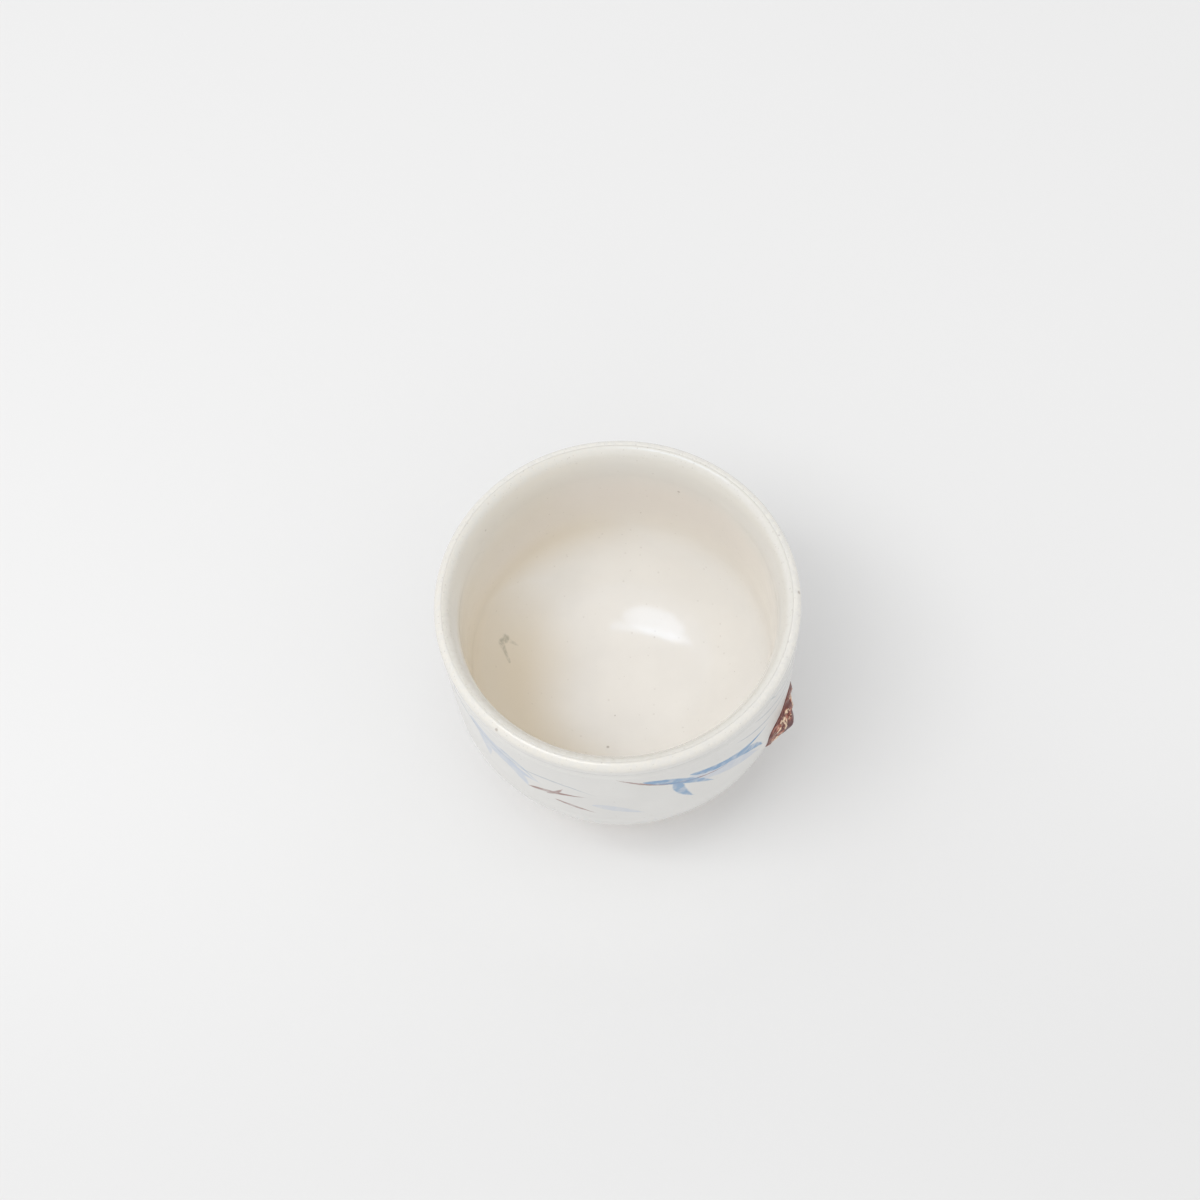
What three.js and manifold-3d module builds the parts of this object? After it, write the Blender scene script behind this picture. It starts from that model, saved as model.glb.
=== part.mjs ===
// Yunomi teacup: a thrown stoneware cup on a luted foot ring, glazed inside and out, with one
// relief boss of iron clay on its wall. Millimetres, +Z up, the foot stands on z = 0 and the
// cup's axis is the Z axis.

import * as THREE from 'three';
import { mergeVertices } from 'three/addons/utils/BufferGeometryUtils.js';
import Module from 'manifold-3d';

// The whole cup, measured over the glaze.
const RIM_DIAMETER = 86;
const CUP_HEIGHT = 70;

// The coats of glaze. The outer one stops above the base in a roll, where it gathered and froze.
const GLAZE = 0.5;
const ROLL_SWELL = 0.35;
const ROLL_HEIGHT = 1.6;
const BARE_HEEL = 1.6;

// The clay wall: nearly straight from the lip down to the belly, then rounding in to the base.
const WALL = 4;
const BELLY_DIAMETER = 81.5;
const BELLY_HEIGHT = 36.6;

// The lip: round on its outer edge, thinning inwards over a long shoulder, with a plain band
// and one turned groove below it on the outside.
const LIP_ROUND = 1.3;
const LIP_BAND = 1.5;
const GROOVE_WIDTH = 3.6;
const GROOVE_DEPTH = 0.4;
const SHOULDER_DEPTH = 9;

// The clay floor, and how far the dished inside runs level and upright before it rounds:
// the longer these are, the flatter the floor and the fuller the heel.
const FLOOR = 4.4;
const FLOOR_RUN = 23;
const HEEL_RUN = 16;

// The foot ring, and the ledge that the base leaves outside it.
const FOOT_DIAMETER = 43.6;
const FOOT_HEIGHT = 7.2;
const FOOT_WIDTH = 5;
const FOOT_TAPER = 0.5;
const FOOT_EDGE = 0.9;
const HEEL_LEDGE = 0.6;

// The relief boss: a pinched, pointed stud, luted to the clay through a window in the glaze.
const BOSS_AZIMUTH = -24.8;
const BOSS_MIDDLE_HEIGHT = 33.4;
const BOSS_WIDTH = 16.6;
const BOSS_LENGTH = 16;
const BOSS_RISE = 4.2;
const BOSS_EDGE = 0.9;
const BOSS_APRON = 2.6;
const BOSS_TIP_ROUND = 2.4;
const BOSS_TIP_ACROSS = -2.8;
const BOSS_TIP_UP = 0.4;
const BOSS_PINCH = 0.5;
const BOSS_PINCHES = 5;
const LUTING_SLIP = 0.3;
const WINDOW_GAP = 0.3;

// How finely the round forms are cut.
const TURN_STEPS = 48;
const LIP_STEPS = 3;
const GROOVE_STEPS = 4;
const SHOULDER_STEPS = 4;
const BOWL_STEPS = 8;
const ROLL_STEPS = 3;
const EDGE_STEPS = 2;
const BOSS_TURN_STEPS = 30;
const BOSS_FLANK_STEPS = 6;
const BOSS_BACK_STEPS = 3;

const wasm = await Module();
wasm.setup();

function finish(color, roughness, metalness) {
  return new THREE.MeshStandardMaterial({ color, roughness, metalness });
}

const stoneware = finish(0xcdbfa9, 0.85, 0);
const footClay = finish(0xc4b298, 0.9, 0);
const creamGlaze = finish(0xe6dfd2, 0.18, 0);
const whiteGlaze = finish(0xdfe0de, 0.18, 0);
const ironClay = finish(0x6e4a40, 0.55, 0.1);

// The clay's leading points, in the half section: radius, then height. All lie under the glaze.
const rimRadius = RIM_DIAMETER / 2 - GLAZE;
const crownHeight = CUP_HEIGHT - GLAZE;
const footRadius = FOOT_DIAMETER / 2;
const crown = new THREE.Vector2(rimRadius - LIP_ROUND, crownHeight);
const lipSide = new THREE.Vector2(rimRadius, crownHeight - LIP_ROUND);
const belly = new THREE.Vector2(BELLY_DIAMETER / 2, BELLY_HEIGHT);
const baseEdge = new THREE.Vector2(footRadius + HEEL_LEDGE, FOOT_HEIGHT);
const floorMiddle = new THREE.Vector2(0, FOOT_HEIGHT + FLOOR);

// The bowl's outer arc leaves the straight wall at the belly without a corner and ends on the
// edge of the base, which fixes its radius and centre.
const wallDown = belly.clone().sub(lipSide).normalize();
const wallInward = new THREE.Vector2(wallDown.y, -wallDown.x);
const chord = baseEdge.clone().sub(belly);
const bowlRadius = chord.lengthSq() / (2 * chord.dot(wallInward));
const bowlCentre = belly.clone().addScaledVector(wallInward, bowlRadius);

// A point of the clay's outer wall at a height, before the groove is turned into it.
function wallPoint(height) {
  if (height >= BELLY_HEIGHT) {
    const share = (height - belly.y) / (lipSide.y - belly.y);
    return belly.clone().lerp(lipSide, share);
  }
  const rise = height - bowlCentre.y;
  return new THREE.Vector2(bowlCentre.x + Math.sqrt(bowlRadius ** 2 - rise ** 2), height);
}

// The direction that the outer wall faces at a height.
function wallFacing(height) {
  if (height >= BELLY_HEIGHT) {
    return wallInward.clone().negate();
  }
  return wallPoint(height).sub(bowlCentre).normalize();
}

// Points on a stretch of an ellipse, both ends included.
function arcPoints(centre, radiusX, radiusY, start, end, steps) {
  const backwards = end < start;
  const arc = new THREE.EllipseCurve(centre.x, centre.y, radiusX, radiusY, start, end, backwards);
  return arc.getPoints(steps);
}

// Points on the bowl's outer arc between two heights.
function bowlPoints(fromHeight, toHeight, steps) {
  const [start, end] = [fromHeight, toHeight].map((height) => {
    const spoke = wallPoint(height).sub(bowlCentre);
    return Math.atan2(spoke.y, spoke.x);
  });
  return arcPoints(bowlCentre, bowlRadius, bowlRadius, start, end, steps);
}

// The groove below the lip band: a smooth hollow that runs out to nothing at both edges.
function groovePoints() {
  const points = [];
  for (let i = 0; i <= GROOVE_STEPS; i += 1) {
    const share = i / GROOVE_STEPS;
    const point = wallPoint(lipSide.y - LIP_BAND - GROOVE_WIDTH * share);
    point.x -= GROOVE_DEPTH * Math.sin(Math.PI * share) ** 2;
    points.push(point);
  }
  return points;
}

// The clay's outside under the outer coat, from the crown of the lip down to the coat's end.
const coatEnd = baseEdge.y + BARE_HEEL;
const rollTop = coatEnd + ROLL_HEIGHT;
const lipCentre = new THREE.Vector2(crown.x, lipSide.y);
const clayOutside = [
  ...arcPoints(lipCentre, LIP_ROUND, LIP_ROUND, Math.PI / 2, 0, LIP_STEPS),
  ...groovePoints(),
  ...bowlPoints(BELLY_HEIGHT, rollTop, BOWL_STEPS),
  ...bowlPoints(rollTop, coatEnd, ROLL_STEPS).slice(1),
];

// The clay's inside, from the crown over the shoulder and down the bowl to the floor's middle.
function insidePoints() {
  const shoulderFoot = wallPoint(crownHeight - SHOULDER_DEPTH);
  const reach = crown.x - (shoulderFoot.x - WALL);
  const shoulderCentre = new THREE.Vector2(crown.x, shoulderFoot.y);
  const innerBelly = new THREE.Vector2(belly.x - WALL, belly.y);
  const bowl = new THREE.CubicBezierCurve(
    innerBelly,
    innerBelly.clone().addScaledVector(wallDown, HEEL_RUN),
    new THREE.Vector2(FLOOR_RUN, floorMiddle.y),
    floorMiddle,
  );
  return [
    ...arcPoints(shoulderCentre, reach, SHOULDER_DEPTH, Math.PI / 2, Math.PI, SHOULDER_STEPS),
    ...bowl.getPoints(BOWL_STEPS),
  ];
}

const clayInside = insidePoints();

// A coat's face: the clay's points pushed off it. The first goes straight up, so that both coats
// meet on one seam at the crown, and a last point on the axis stays on the axis.
function coatFace(clay, side, thicknessAt) {
  return clay.map((point, i) => {
    const before = clay[Math.max(i - 1, 0)];
    const after = clay[Math.min(i + 1, clay.length - 1)];
    const along = after.clone().sub(before).normalize();
    const facing = new THREE.Vector2(-along.y, along.x).multiplyScalar(side);
    if (i === 0 || point.x === 0) {
      facing.set(0, 1);
    }
    return point.clone().addScaledVector(facing, thicknessAt(point.y));
  });
}

// The outer coat's thickness at a height: even down the wall, swollen in the roll, and nothing
// where it ends on the clay.
function outerThickness(height) {
  const share = THREE.MathUtils.clamp((rollTop - height) / ROLL_HEIGHT, 0, 1);
  return (GLAZE + ROLL_SWELL * Math.sin(Math.PI * share)) * Math.sqrt(1 - share ** 4);
}

// A half section turned round the Z axis.
function turned(points) {
  return new THREE.LatheGeometry(points, TURN_STEPS).rotateX(Math.PI / 2);
}

function cupBody() {
  const baseMiddle = new THREE.Vector2(0, FOOT_HEIGHT);
  return turned([baseMiddle, baseEdge, ...clayOutside.toReversed(), ...clayInside.slice(1)]);
}

function footRing() {
  const foot = footRadius - FOOT_TAPER - FOOT_EDGE;
  const recess = footRadius - FOOT_WIDTH + FOOT_TAPER + FOOT_EDGE;
  const outerEdge = new THREE.Vector2(foot, FOOT_EDGE);
  const innerEdge = new THREE.Vector2(recess, FOOT_EDGE);
  const seatInside = new THREE.Vector2(footRadius - FOOT_WIDTH, FOOT_HEIGHT);
  return turned([
    seatInside,
    ...arcPoints(innerEdge, FOOT_EDGE, FOOT_EDGE, Math.PI, 1.5 * Math.PI, EDGE_STEPS),
    ...arcPoints(outerEdge, FOOT_EDGE, FOOT_EDGE, 1.5 * Math.PI, 2 * Math.PI, EDGE_STEPS),
    new THREE.Vector2(footRadius, FOOT_HEIGHT),
    seatInside,
  ]);
}

function innerCoat() {
  const face = coatFace(clayInside, -1, () => GLAZE);
  return turned([...clayInside.toReversed(), ...face]);
}

// A place on the wall: across and up from the boss's middle, and lifted off the clay.
function onWall(across, up, lift) {
  const height = BOSS_MIDDLE_HEIGHT + up;
  const place = wallPoint(height).addScaledVector(wallFacing(height), lift);
  const azimuth = THREE.MathUtils.degToRad(BOSS_AZIMUTH) + across / wallPoint(BOSS_MIDDLE_HEIGHT).x;
  return new THREE.Vector3(place.x * Math.cos(azimuth), place.x * Math.sin(azimuth), place.y);
}

// A turned disc laid over the wall. In its section a radius of 1 is the boss's pinched outline,
// set out by a margin, and the height is the lift off the clay. The disc's middle is drawn aside
// to where the tip stands.
function laidOnWall(section, margin, tipAcross, tipUp) {
  const disc = new THREE.LatheGeometry(section, BOSS_TURN_STEPS);
  const position = disc.getAttribute('position');
  for (let i = 0; i < position.count; i += 1) {
    const share = Math.hypot(position.getX(i), position.getZ(i));
    const angle = Math.atan2(position.getX(i), position.getZ(i));
    const spread = margin + BOSS_PINCH * Math.cos(BOSS_PINCHES * angle);
    const drawn = 1 - share;
    const across = (BOSS_WIDTH / 2 + spread) * Math.cos(angle) * share + tipAcross * drawn;
    const up = (BOSS_LENGTH / 2 + spread) * Math.sin(angle) * share + tipUp * drawn;
    position.setXYZ(i, ...onWall(across, up, position.getY(i)));
  }
  return disc;
}

// The boss rises from its cut edge over a low apron to a rounded tip.
function reliefBoss() {
  const edge = LUTING_SLIP + BOSS_EDGE;
  const halfWidth = BOSS_WIDTH / 2;
  const flank = new THREE.CubicBezierCurve(
    new THREE.Vector2(1, edge),
    new THREE.Vector2(1 - BOSS_APRON / halfWidth, edge),
    new THREE.Vector2(BOSS_TIP_ROUND / halfWidth, BOSS_RISE),
    new THREE.Vector2(0, BOSS_RISE),
  );
  const middle = new THREE.Vector2(0, LUTING_SLIP);
  const back = new THREE.LineCurve(middle, new THREE.Vector2(1, LUTING_SLIP));
  const section = [...back.getPoints(BOSS_BACK_STEPS), ...flank.getPoints(BOSS_FLANK_STEPS)];
  return laidOnWall(section, 0, BOSS_TIP_ACROSS, BOSS_TIP_UP);
}

// A solid to cut with, from a geometry whose seams are merged, and back to a geometry.
function solidOf(geometry) {
  const bare = new THREE.BufferGeometry();
  bare.setAttribute('position', geometry.getAttribute('position'));
  bare.setIndex(geometry.getIndex());
  const merged = mergeVertices(bare);
  const vertProperties = merged.getAttribute('position').array;
  const triVerts = new Uint32Array(merged.getIndex().array);
  return new wasm.Manifold(new wasm.Mesh({ numProp: 3, vertProperties, triVerts }));
}

function geometryOf(solid) {
  const { vertProperties, triVerts, numProp } = solid.getMesh();
  const geometry = new THREE.BufferGeometry();
  geometry.setAttribute('position', new THREE.BufferAttribute(vertProperties, numProp));
  geometry.setIndex(new THREE.BufferAttribute(triVerts, 1));
  geometry.computeVertexNormals();
  return geometry;
}

// The outer coat, less the window that the boss is luted through.
function outerCoat() {
  const face = coatFace(clayOutside, 1, outerThickness);
  const coat = turned([...face.toReversed(), ...clayOutside]);
  const inside = -GLAZE;
  const outside = 2 * GLAZE;
  const window = [
    new THREE.Vector2(0, inside),
    new THREE.Vector2(1, inside),
    new THREE.Vector2(1, outside),
    new THREE.Vector2(0, outside),
  ];
  return geometryOf(solidOf(coat).subtract(solidOf(laidOnWall(window, WINDOW_GAP, 0, 0))));
}

function piece(name, geometry, material) {
  const mesh = new THREE.Mesh(geometry, material);
  mesh.name = name;
  return mesh;
}

const cup = new THREE.Group();
cup.add(
  piece('cup_body', cupBody(), stoneware),
  piece('foot_ring', footRing(), footClay),
  piece('inner_glaze', innerCoat(), creamGlaze),
  piece('outer_glaze', outerCoat(), whiteGlaze),
  piece('relief_boss', reliefBoss(), ironClay),
);

export default cup;
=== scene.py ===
# %% [markdown]
# # A hand-thrown tea cup
#
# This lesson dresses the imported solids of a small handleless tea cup: a stoneware body on a foot
# ring, a cream glaze poured inside, a white glaze dipped outside with brush strokes under it, and
# one brown relief boss. The solids give the main sizes. Here each of them gets a finer turned
# surface in the same place, and a finish made of shader nodes.

# %% The frame
import math

import bmesh
import bpy
from mathutils import Matrix, Vector, noise


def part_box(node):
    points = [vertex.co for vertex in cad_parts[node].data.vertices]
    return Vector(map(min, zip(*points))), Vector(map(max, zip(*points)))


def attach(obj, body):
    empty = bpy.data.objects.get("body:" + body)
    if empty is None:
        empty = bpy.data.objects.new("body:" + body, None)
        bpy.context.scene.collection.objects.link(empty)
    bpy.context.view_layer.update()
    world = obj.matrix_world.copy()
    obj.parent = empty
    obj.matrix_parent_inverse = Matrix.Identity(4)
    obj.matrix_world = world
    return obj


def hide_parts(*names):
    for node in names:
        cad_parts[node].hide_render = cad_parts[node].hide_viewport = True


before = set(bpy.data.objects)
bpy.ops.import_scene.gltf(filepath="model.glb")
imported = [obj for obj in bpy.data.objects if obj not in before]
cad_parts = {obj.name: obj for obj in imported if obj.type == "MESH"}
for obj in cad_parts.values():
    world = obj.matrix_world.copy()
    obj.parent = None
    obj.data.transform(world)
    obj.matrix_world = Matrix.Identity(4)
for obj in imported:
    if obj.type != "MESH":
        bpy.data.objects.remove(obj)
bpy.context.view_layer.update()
MM = 0.001

outer_low, outer_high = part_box("outer_glaze")
inner_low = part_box("inner_glaze")[0]
body_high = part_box("cup_body")[1]
foot_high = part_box("foot_ring")[1]

RIM_RADIUS = outer_high.x
CUP_HEIGHT = outer_high.z
GLAZE = outer_high.z - body_high.z
GLAZE_END = outer_low.z
CLAY_FLOOR = inner_low.z
FOOT_RADIUS = foot_high.x
FOOT_HEIGHT = foot_high.z
print("rim radius", round(RIM_RADIUS / MM, 2), "height", round(CUP_HEIGHT / MM, 2))
print("glaze", round(GLAZE / MM, 2), "thick, ends at", round(GLAZE_END / MM, 2))

# %% [markdown]
# ## The camera
#
# The photograph looks steeply down on the cup with a long lens, a little rolled. Lens, distance,
# height angle and roll were found by fitting the rim's ellipse and the outline of the wall. The
# aim is moved sideways by a few millimetres, because the cup stands right of the picture's middle.

# %% Camera
CAMERA_DISTANCE = 0.8
CAMERA_ELEVATION = math.radians(64.83)
CAMERA_ROLL = math.radians(-5.01)
CAMERA_LENS = 102.8
SENSOR_WIDTH = 36
AIM_LEFT = 3.97 * MM

forward = Vector((0, math.cos(CAMERA_ELEVATION), -math.sin(CAMERA_ELEVATION)))
level_right = Vector((1, 0, 0))
level_up = level_right.cross(forward)
image_right = level_right * math.cos(CAMERA_ROLL) + level_up * math.sin(CAMERA_ROLL)
image_up = level_up * math.cos(CAMERA_ROLL) - level_right * math.sin(CAMERA_ROLL)
aim = Vector((0, 0, CUP_HEIGHT)) - image_right * AIM_LEFT

camera_data = bpy.data.cameras.new("camera")
camera_data.lens = CAMERA_LENS
camera_data.sensor_width = SENSOR_WIDTH
camera = bpy.data.objects.new("camera", camera_data)
turn = Matrix((image_right, image_up, -forward)).transposed()
camera.matrix_world = Matrix.Translation(aim - forward * CAMERA_DISTANCE) @ turn.to_4x4()
bpy.context.scene.collection.objects.link(camera)
bpy.context.scene.camera = camera
print("camera at", [round(c, 3) for c in camera.location])

# %% [markdown]
# ## Shader sums in Python
#
# A finish is a long sum of masks and colours. Written node by node it is hard to read, so one
# small class holds a socket and overloads the operators: `1 - mask * 0.5` then adds the Math nodes
# by itself. `step` is the mask that the lesson uses most: a smooth rise from one value to another.


# %% Values
class Value:
    """A number that varies over the surface: a shader socket that can stand in a sum."""

    def __init__(self, finish, socket):
        self.finish = finish
        self.socket = socket

    def math(self, operation, *operands):
        return self.finish.node("Math", {"operation": operation}, dict(enumerate(operands)))

    def __add__(self, other):
        return self.math("ADD", self, other)

    def __radd__(self, other):
        return self.math("ADD", other, self)

    def __sub__(self, other):
        return self.math("SUBTRACT", self, other)

    def __rsub__(self, other):
        return self.math("SUBTRACT", other, self)

    def __mul__(self, other):
        return self.math("MULTIPLY", self, other)

    def __rmul__(self, other):
        return self.math("MULTIPLY", other, self)

    def __truediv__(self, other):
        return self.math("DIVIDE", self, other)

    def __rtruediv__(self, other):
        return self.math("DIVIDE", other, self)

    def __pow__(self, other):
        return self.math("POWER", self, other)

    def __abs__(self):
        return self.math("ABSOLUTE", self)

    def sine(self):
        return self.math("SINE", self)

    def least(self, other):
        return self.math("MINIMUM", self, other)

    def most(self, other):
        return self.math("MAXIMUM", self, other)

    def step(self, low, high):
        """0 below low, 1 above high and smooth between. With low above high it falls instead."""
        settings = {"interpolation_type": "SMOOTHSTEP", "clamp": True}
        start, end = (1.0, 0.0) if low > high else (0.0, 1.0)
        operands = (self, min(low, high), max(low, high), start, end)
        return self.finish.node("MapRange", settings, dict(enumerate(operands)))


# %% [markdown]
# ## One material, one class
#
# Every finish starts from the same things: a Principled shader, and Object coordinates, which stay
# on the piece when it is moved. A second class holds them. Its `node` method adds any node by its
# type, settings and sockets, and a few more methods make what the finishes share: mixed colours,
# cloudy noise, round specks and a bump.


# %% Finishes
class Finish:
    """One material: its node tree, its Principled shader and its Object coordinates."""

    MIX_SHARE, MIX_FIRST, MIX_SECOND, MIX_RESULT = 0, 6, 7, 2
    SPECK_LEAST = 0.35
    SPECK_SOFT = 0.6
    CHOICE_EDGE = 0.98

    def __init__(self, name):
        self.material = bpy.data.materials.new(name)
        self.material.use_nodes = True
        self.tree = self.material.node_tree
        self.shader = self.tree.nodes["Principled BSDF"]
        self.place = self.node("TexCoord", {}, {}, "Object")
        self.x, self.y, self.z = self.node("SeparateXYZ", {}, {0: self.place}, "X", "Y", "Z")

    def node(self, kind, settings, sockets, *outputs):
        """Any node by its type, settings and sockets. Returns its first output, or those named."""
        node = self.tree.nodes.new("ShaderNode" + kind)
        for key, value in settings.items():
            setattr(node, key, value)
        for key, value in sockets.items():
            self.feed(node.inputs[key], value)
        values = [Value(self, node.outputs[key]) for key in outputs or (0,)]
        return values if len(values) > 1 else values[0]

    def feed(self, socket, value):
        if isinstance(value, Value):
            self.tree.links.new(value.socket, socket)
        else:
            socket.default_value = value

    def vector(self, operation, first, second, output=0):
        return self.node("VectorMath", {"operation": operation}, {0: first, 1: second}, output)

    def from_axis(self):
        """The distance from the Z axis, on which the cup was thrown."""
        return (self.x * self.x + self.y * self.y) ** 0.5

    def toward(self, direction):
        """How far a point lies toward a level direction."""
        return self.x * direction[0] + self.y * direction[1]

    def colour(self, first, second, share):
        """A mix of two colours, each a tuple or a Value."""
        first, second = (c if isinstance(c, Value) else (*c, 1) for c in (first, second))
        sockets = {self.MIX_SHARE: share, self.MIX_FIRST: first, self.MIX_SECOND: second}
        return self.node("Mix", {"data_type": "RGBA"}, sockets, self.MIX_RESULT)

    def noise(self, size, detail=2.0):
        """Cloudy noise about 0.5, with lumps of about the given size in metres."""
        return self.node("TexNoise", {}, {"Vector": self.place, "Scale": 1 / size, "Detail": detail})

    def specks(self, cell, radius, share=1.0):
        """Round specks of a radius up to the given one, in a share of the cells of a given size."""
        sockets = {"Vector": self.place, "Scale": 1 / cell}
        distance, tint = self.node("TexVoronoi", {"feature": "F1"}, sockets, "Distance", "Color")
        red, green = self.node("SeparateColor", {}, {0: tint}, "Red", "Green")
        chosen = red.step(1 - share, 1 - share * self.CHOICE_EDGE)
        reach = radius * (self.SPECK_LEAST + (1 - self.SPECK_LEAST) * green)
        return (1 - distance * cell / reach).step(0.0, self.SPECK_SOFT) * chosen

    def bump(self, height, depth):
        return self.node("Bump", {}, {"Strength": 1.0, "Distance": depth, "Height": height})

    def finish_with(self, **sockets):
        """Feeds the shader's sockets, named with _ for a space, and returns the material."""
        for key, value in sockets.items():
            self.feed(self.shader.inputs[key.replace("_", " ")], value)
        print("finish", self.material.name, "with", len(self.tree.nodes), "nodes")
        return self.material


# %% [markdown]
# ## The floor
#
# The cup stands on white paper that fills the picture. A plain grid is enough for a sheet of paper,
# with a faint tooth in its finish. Painted shade makes the paper darker in front of the cup. A small
# pool of painted light under the cup's front softens the contact shadow, brightens the turned-in
# wall above it, and fades just past the outline.

# %% Floor
FLOOR_SIZE = 6.0
PAPER = (0.806, 0.806, 0.806)
# Painted shade on the paper in front of the cup.
PAPER_FRONT_SHADE = (0.75, 0.75, 0.75)
# A painted pool of light on the paper under the cup's front, which softens the contact shadow.
PAPER_LIT = (0.92, 0.92, 0.92)
FRONT_SHADE_FORWARD, FRONT_SHADE_OUTWARD = (0.01, -0.12), (0.045, 0.075)
LIT_FORWARD, LIT_OUTWARD = (0.0, -0.02), (0.037, 0.026)
PAPER_TOOTH = 0.4 * MM
TOOTH_DEPTH = 0.01 * MM

paper = Finish("white_paper")
from_cup = paper.from_axis()
# Where the painted shade in front of the cup and the painted pool of light under its front lie.
front_shade = paper.y.step(*FRONT_SHADE_FORWARD) * from_cup.step(*FRONT_SHADE_OUTWARD)
lit = paper.y.step(*LIT_FORWARD) * from_cup.step(*LIT_OUTWARD)
paper_finish = paper.finish_with(
    Base_Color=paper.colour(paper.colour(PAPER, PAPER_FRONT_SHADE, front_shade), PAPER_LIT, lit),
    Normal=paper.bump(paper.noise(PAPER_TOOTH), TOOTH_DEPTH),
    Roughness=0.9,
)

floor_mesh = bpy.data.meshes.new("floor")
floor_shape = bmesh.new()
bmesh.ops.create_grid(floor_shape, x_segments=1, y_segments=1, size=FLOOR_SIZE / 2)
floor_shape.to_mesh(floor_mesh)
floor_shape.free()
floor_mesh.materials.append(paper_finish)
floor = bpy.data.objects.new("floor", floor_mesh)
bpy.context.scene.collection.objects.link(floor)
print("floor", FLOOR_SIZE, "m wide")

# %% [markdown]
# ## The light
#
# The bright patch in the bowl is the mirror image of a lamp, so it tells the lamp's shape: an oval
# softbox high on the left, with a brighter straight edge. A wide window on the left gives the soft
# shadow on the right. Two weak cards and an even white sky fill the rest. One picture of a room
# could light it all, but lamps can be set one at a time.

# %% Lamps
# Each lamp: shape, direction from the cup, distance, width and length, twist in degrees, watts.
LAMPS = {
    "softbox": ("ELLIPSE", (-0.33, -0.24, 0.93), 1.0, (0.58, 0.37), -24, 1.9),
    "softbox_edge": ("RECTANGLE", (-0.27, -0.11, 0.95), 1.0, (0.74, 0.08), -18, 0.6),
    "window": ("DISK", (-0.95, 0.05, 0.32), 4.5, (6.0, 6.0), 0, 34.0),
    "front_card": ("DISK", (0.0, -0.9, 0.45), 3.0, (4.0, 4.0), 0, 6.8),
    "side_card": ("DISK", (0.9, -0.25, 0.35), 3.0, (4.0, 4.0), 0, 6.0),
}
STEEP = 0.7
SKY = 0.81

for name, (shape, direction, distance, size, twist, power) in LAMPS.items():
    lamp_data = bpy.data.lights.new(name, "AREA")
    lamp_data.shape = shape
    lamp_data.size, lamp_data.size_y = size
    lamp_data.energy = power
    lamp = bpy.data.objects.new(name, lamp_data)
    facing = Vector(direction).normalized()
    reference = Vector((1, 0, 0)) if facing.z > STEEP else Vector((0, 0, 1))
    across = reference.cross(facing).normalized()
    turn = Matrix((facing.cross(across), -across, facing)).transposed()
    turn = turn @ Matrix.Rotation(math.radians(twist), 3, "Z")
    lamp.matrix_world = Matrix.Translation(facing * distance) @ turn.to_4x4()
    bpy.context.scene.collection.objects.link(lamp)
    print(name, power, "W from", [round(c, 2) for c in facing])

world = bpy.data.worlds.new("sky")
world.use_nodes = True
bpy.context.scene.world = world
background = world.node_tree.nodes["Background"]
background.inputs["Color"].default_value = (1, 1, 1, 1)
background.inputs["Strength"].default_value = SKY
bpy.context.scene.view_settings.view_transform = "Standard"

# %% [markdown]
# ## The turned outlines
#
# A thrown pot is one outline swept round an axis. The outline could be drawn by hand, but then it
# would drift from the solids. Here it is built from the same few sizes: a straight wall that leans
# in a little, an arc that leaves it without a corner and lands on the base, a rounded lip with a
# groove under it, and a dished inside.

# %% Sizes of the clay
LIP_ROUND = 1.3 * MM
LIP_BAND = 1.5 * MM
GROOVE_WIDTH = 3.6 * MM
GROOVE_DEPTH = 0.4 * MM
SHOULDER_DEPTH = 9 * MM
WALL = 4 * MM
BELLY = Vector((40.75 * MM, 36.6 * MM))
HEEL_LEDGE = 0.6 * MM

crown = Vector((RIM_RADIUS - GLAZE - LIP_ROUND, CUP_HEIGHT - GLAZE))
lip_side = Vector((RIM_RADIUS - GLAZE, crown.y - LIP_ROUND))
base_edge = Vector((FOOT_RADIUS + HEEL_LEDGE, FOOT_HEIGHT))
wall_down = (BELLY - lip_side).normalized()
wall_inward = Vector((wall_down.y, -wall_down.x))
chord = base_edge - BELLY
bowl_radius = chord.length_squared / (2 * chord.dot(wall_inward))
bowl_centre = BELLY + wall_inward * bowl_radius
print("the wall rounds in with a radius of", round(bowl_radius / MM, 1))


def wall_point(height):
    """Radius and height of the clay's outer wall, without the groove."""
    if height >= BELLY.y:
        return BELLY.lerp(lip_side, (height - BELLY.y) / (lip_side.y - BELLY.y))
    rise = height - bowl_centre.y
    return Vector((bowl_centre.x + math.sqrt(bowl_radius**2 - rise**2), height))


def wall_facing(height):
    if height >= BELLY.y:
        return -wall_inward
    return (wall_point(height) - bowl_centre).normalized()


# %% Outlines of the clay
LIP_STEPS, GROOVE_STEPS, WALL_STEPS, ROLL_STEPS = 10, 24, 72, 12
SHOULDER_STEPS, INNER_WALL_STEPS, BOWL_STEPS = 24, 24, 48
ROLL_HEIGHT = 1.6 * MM
HEEL_RUN = 16 * MM
FLOOR_RUN = 23 * MM


def arc(centre, radius_x, radius_y, start, end, steps):
    angles = [math.radians(start + (end - start) * i / steps) for i in range(steps + 1)]
    return [centre + Vector((radius_x * math.cos(a), radius_y * math.sin(a))) for a in angles]


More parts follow.
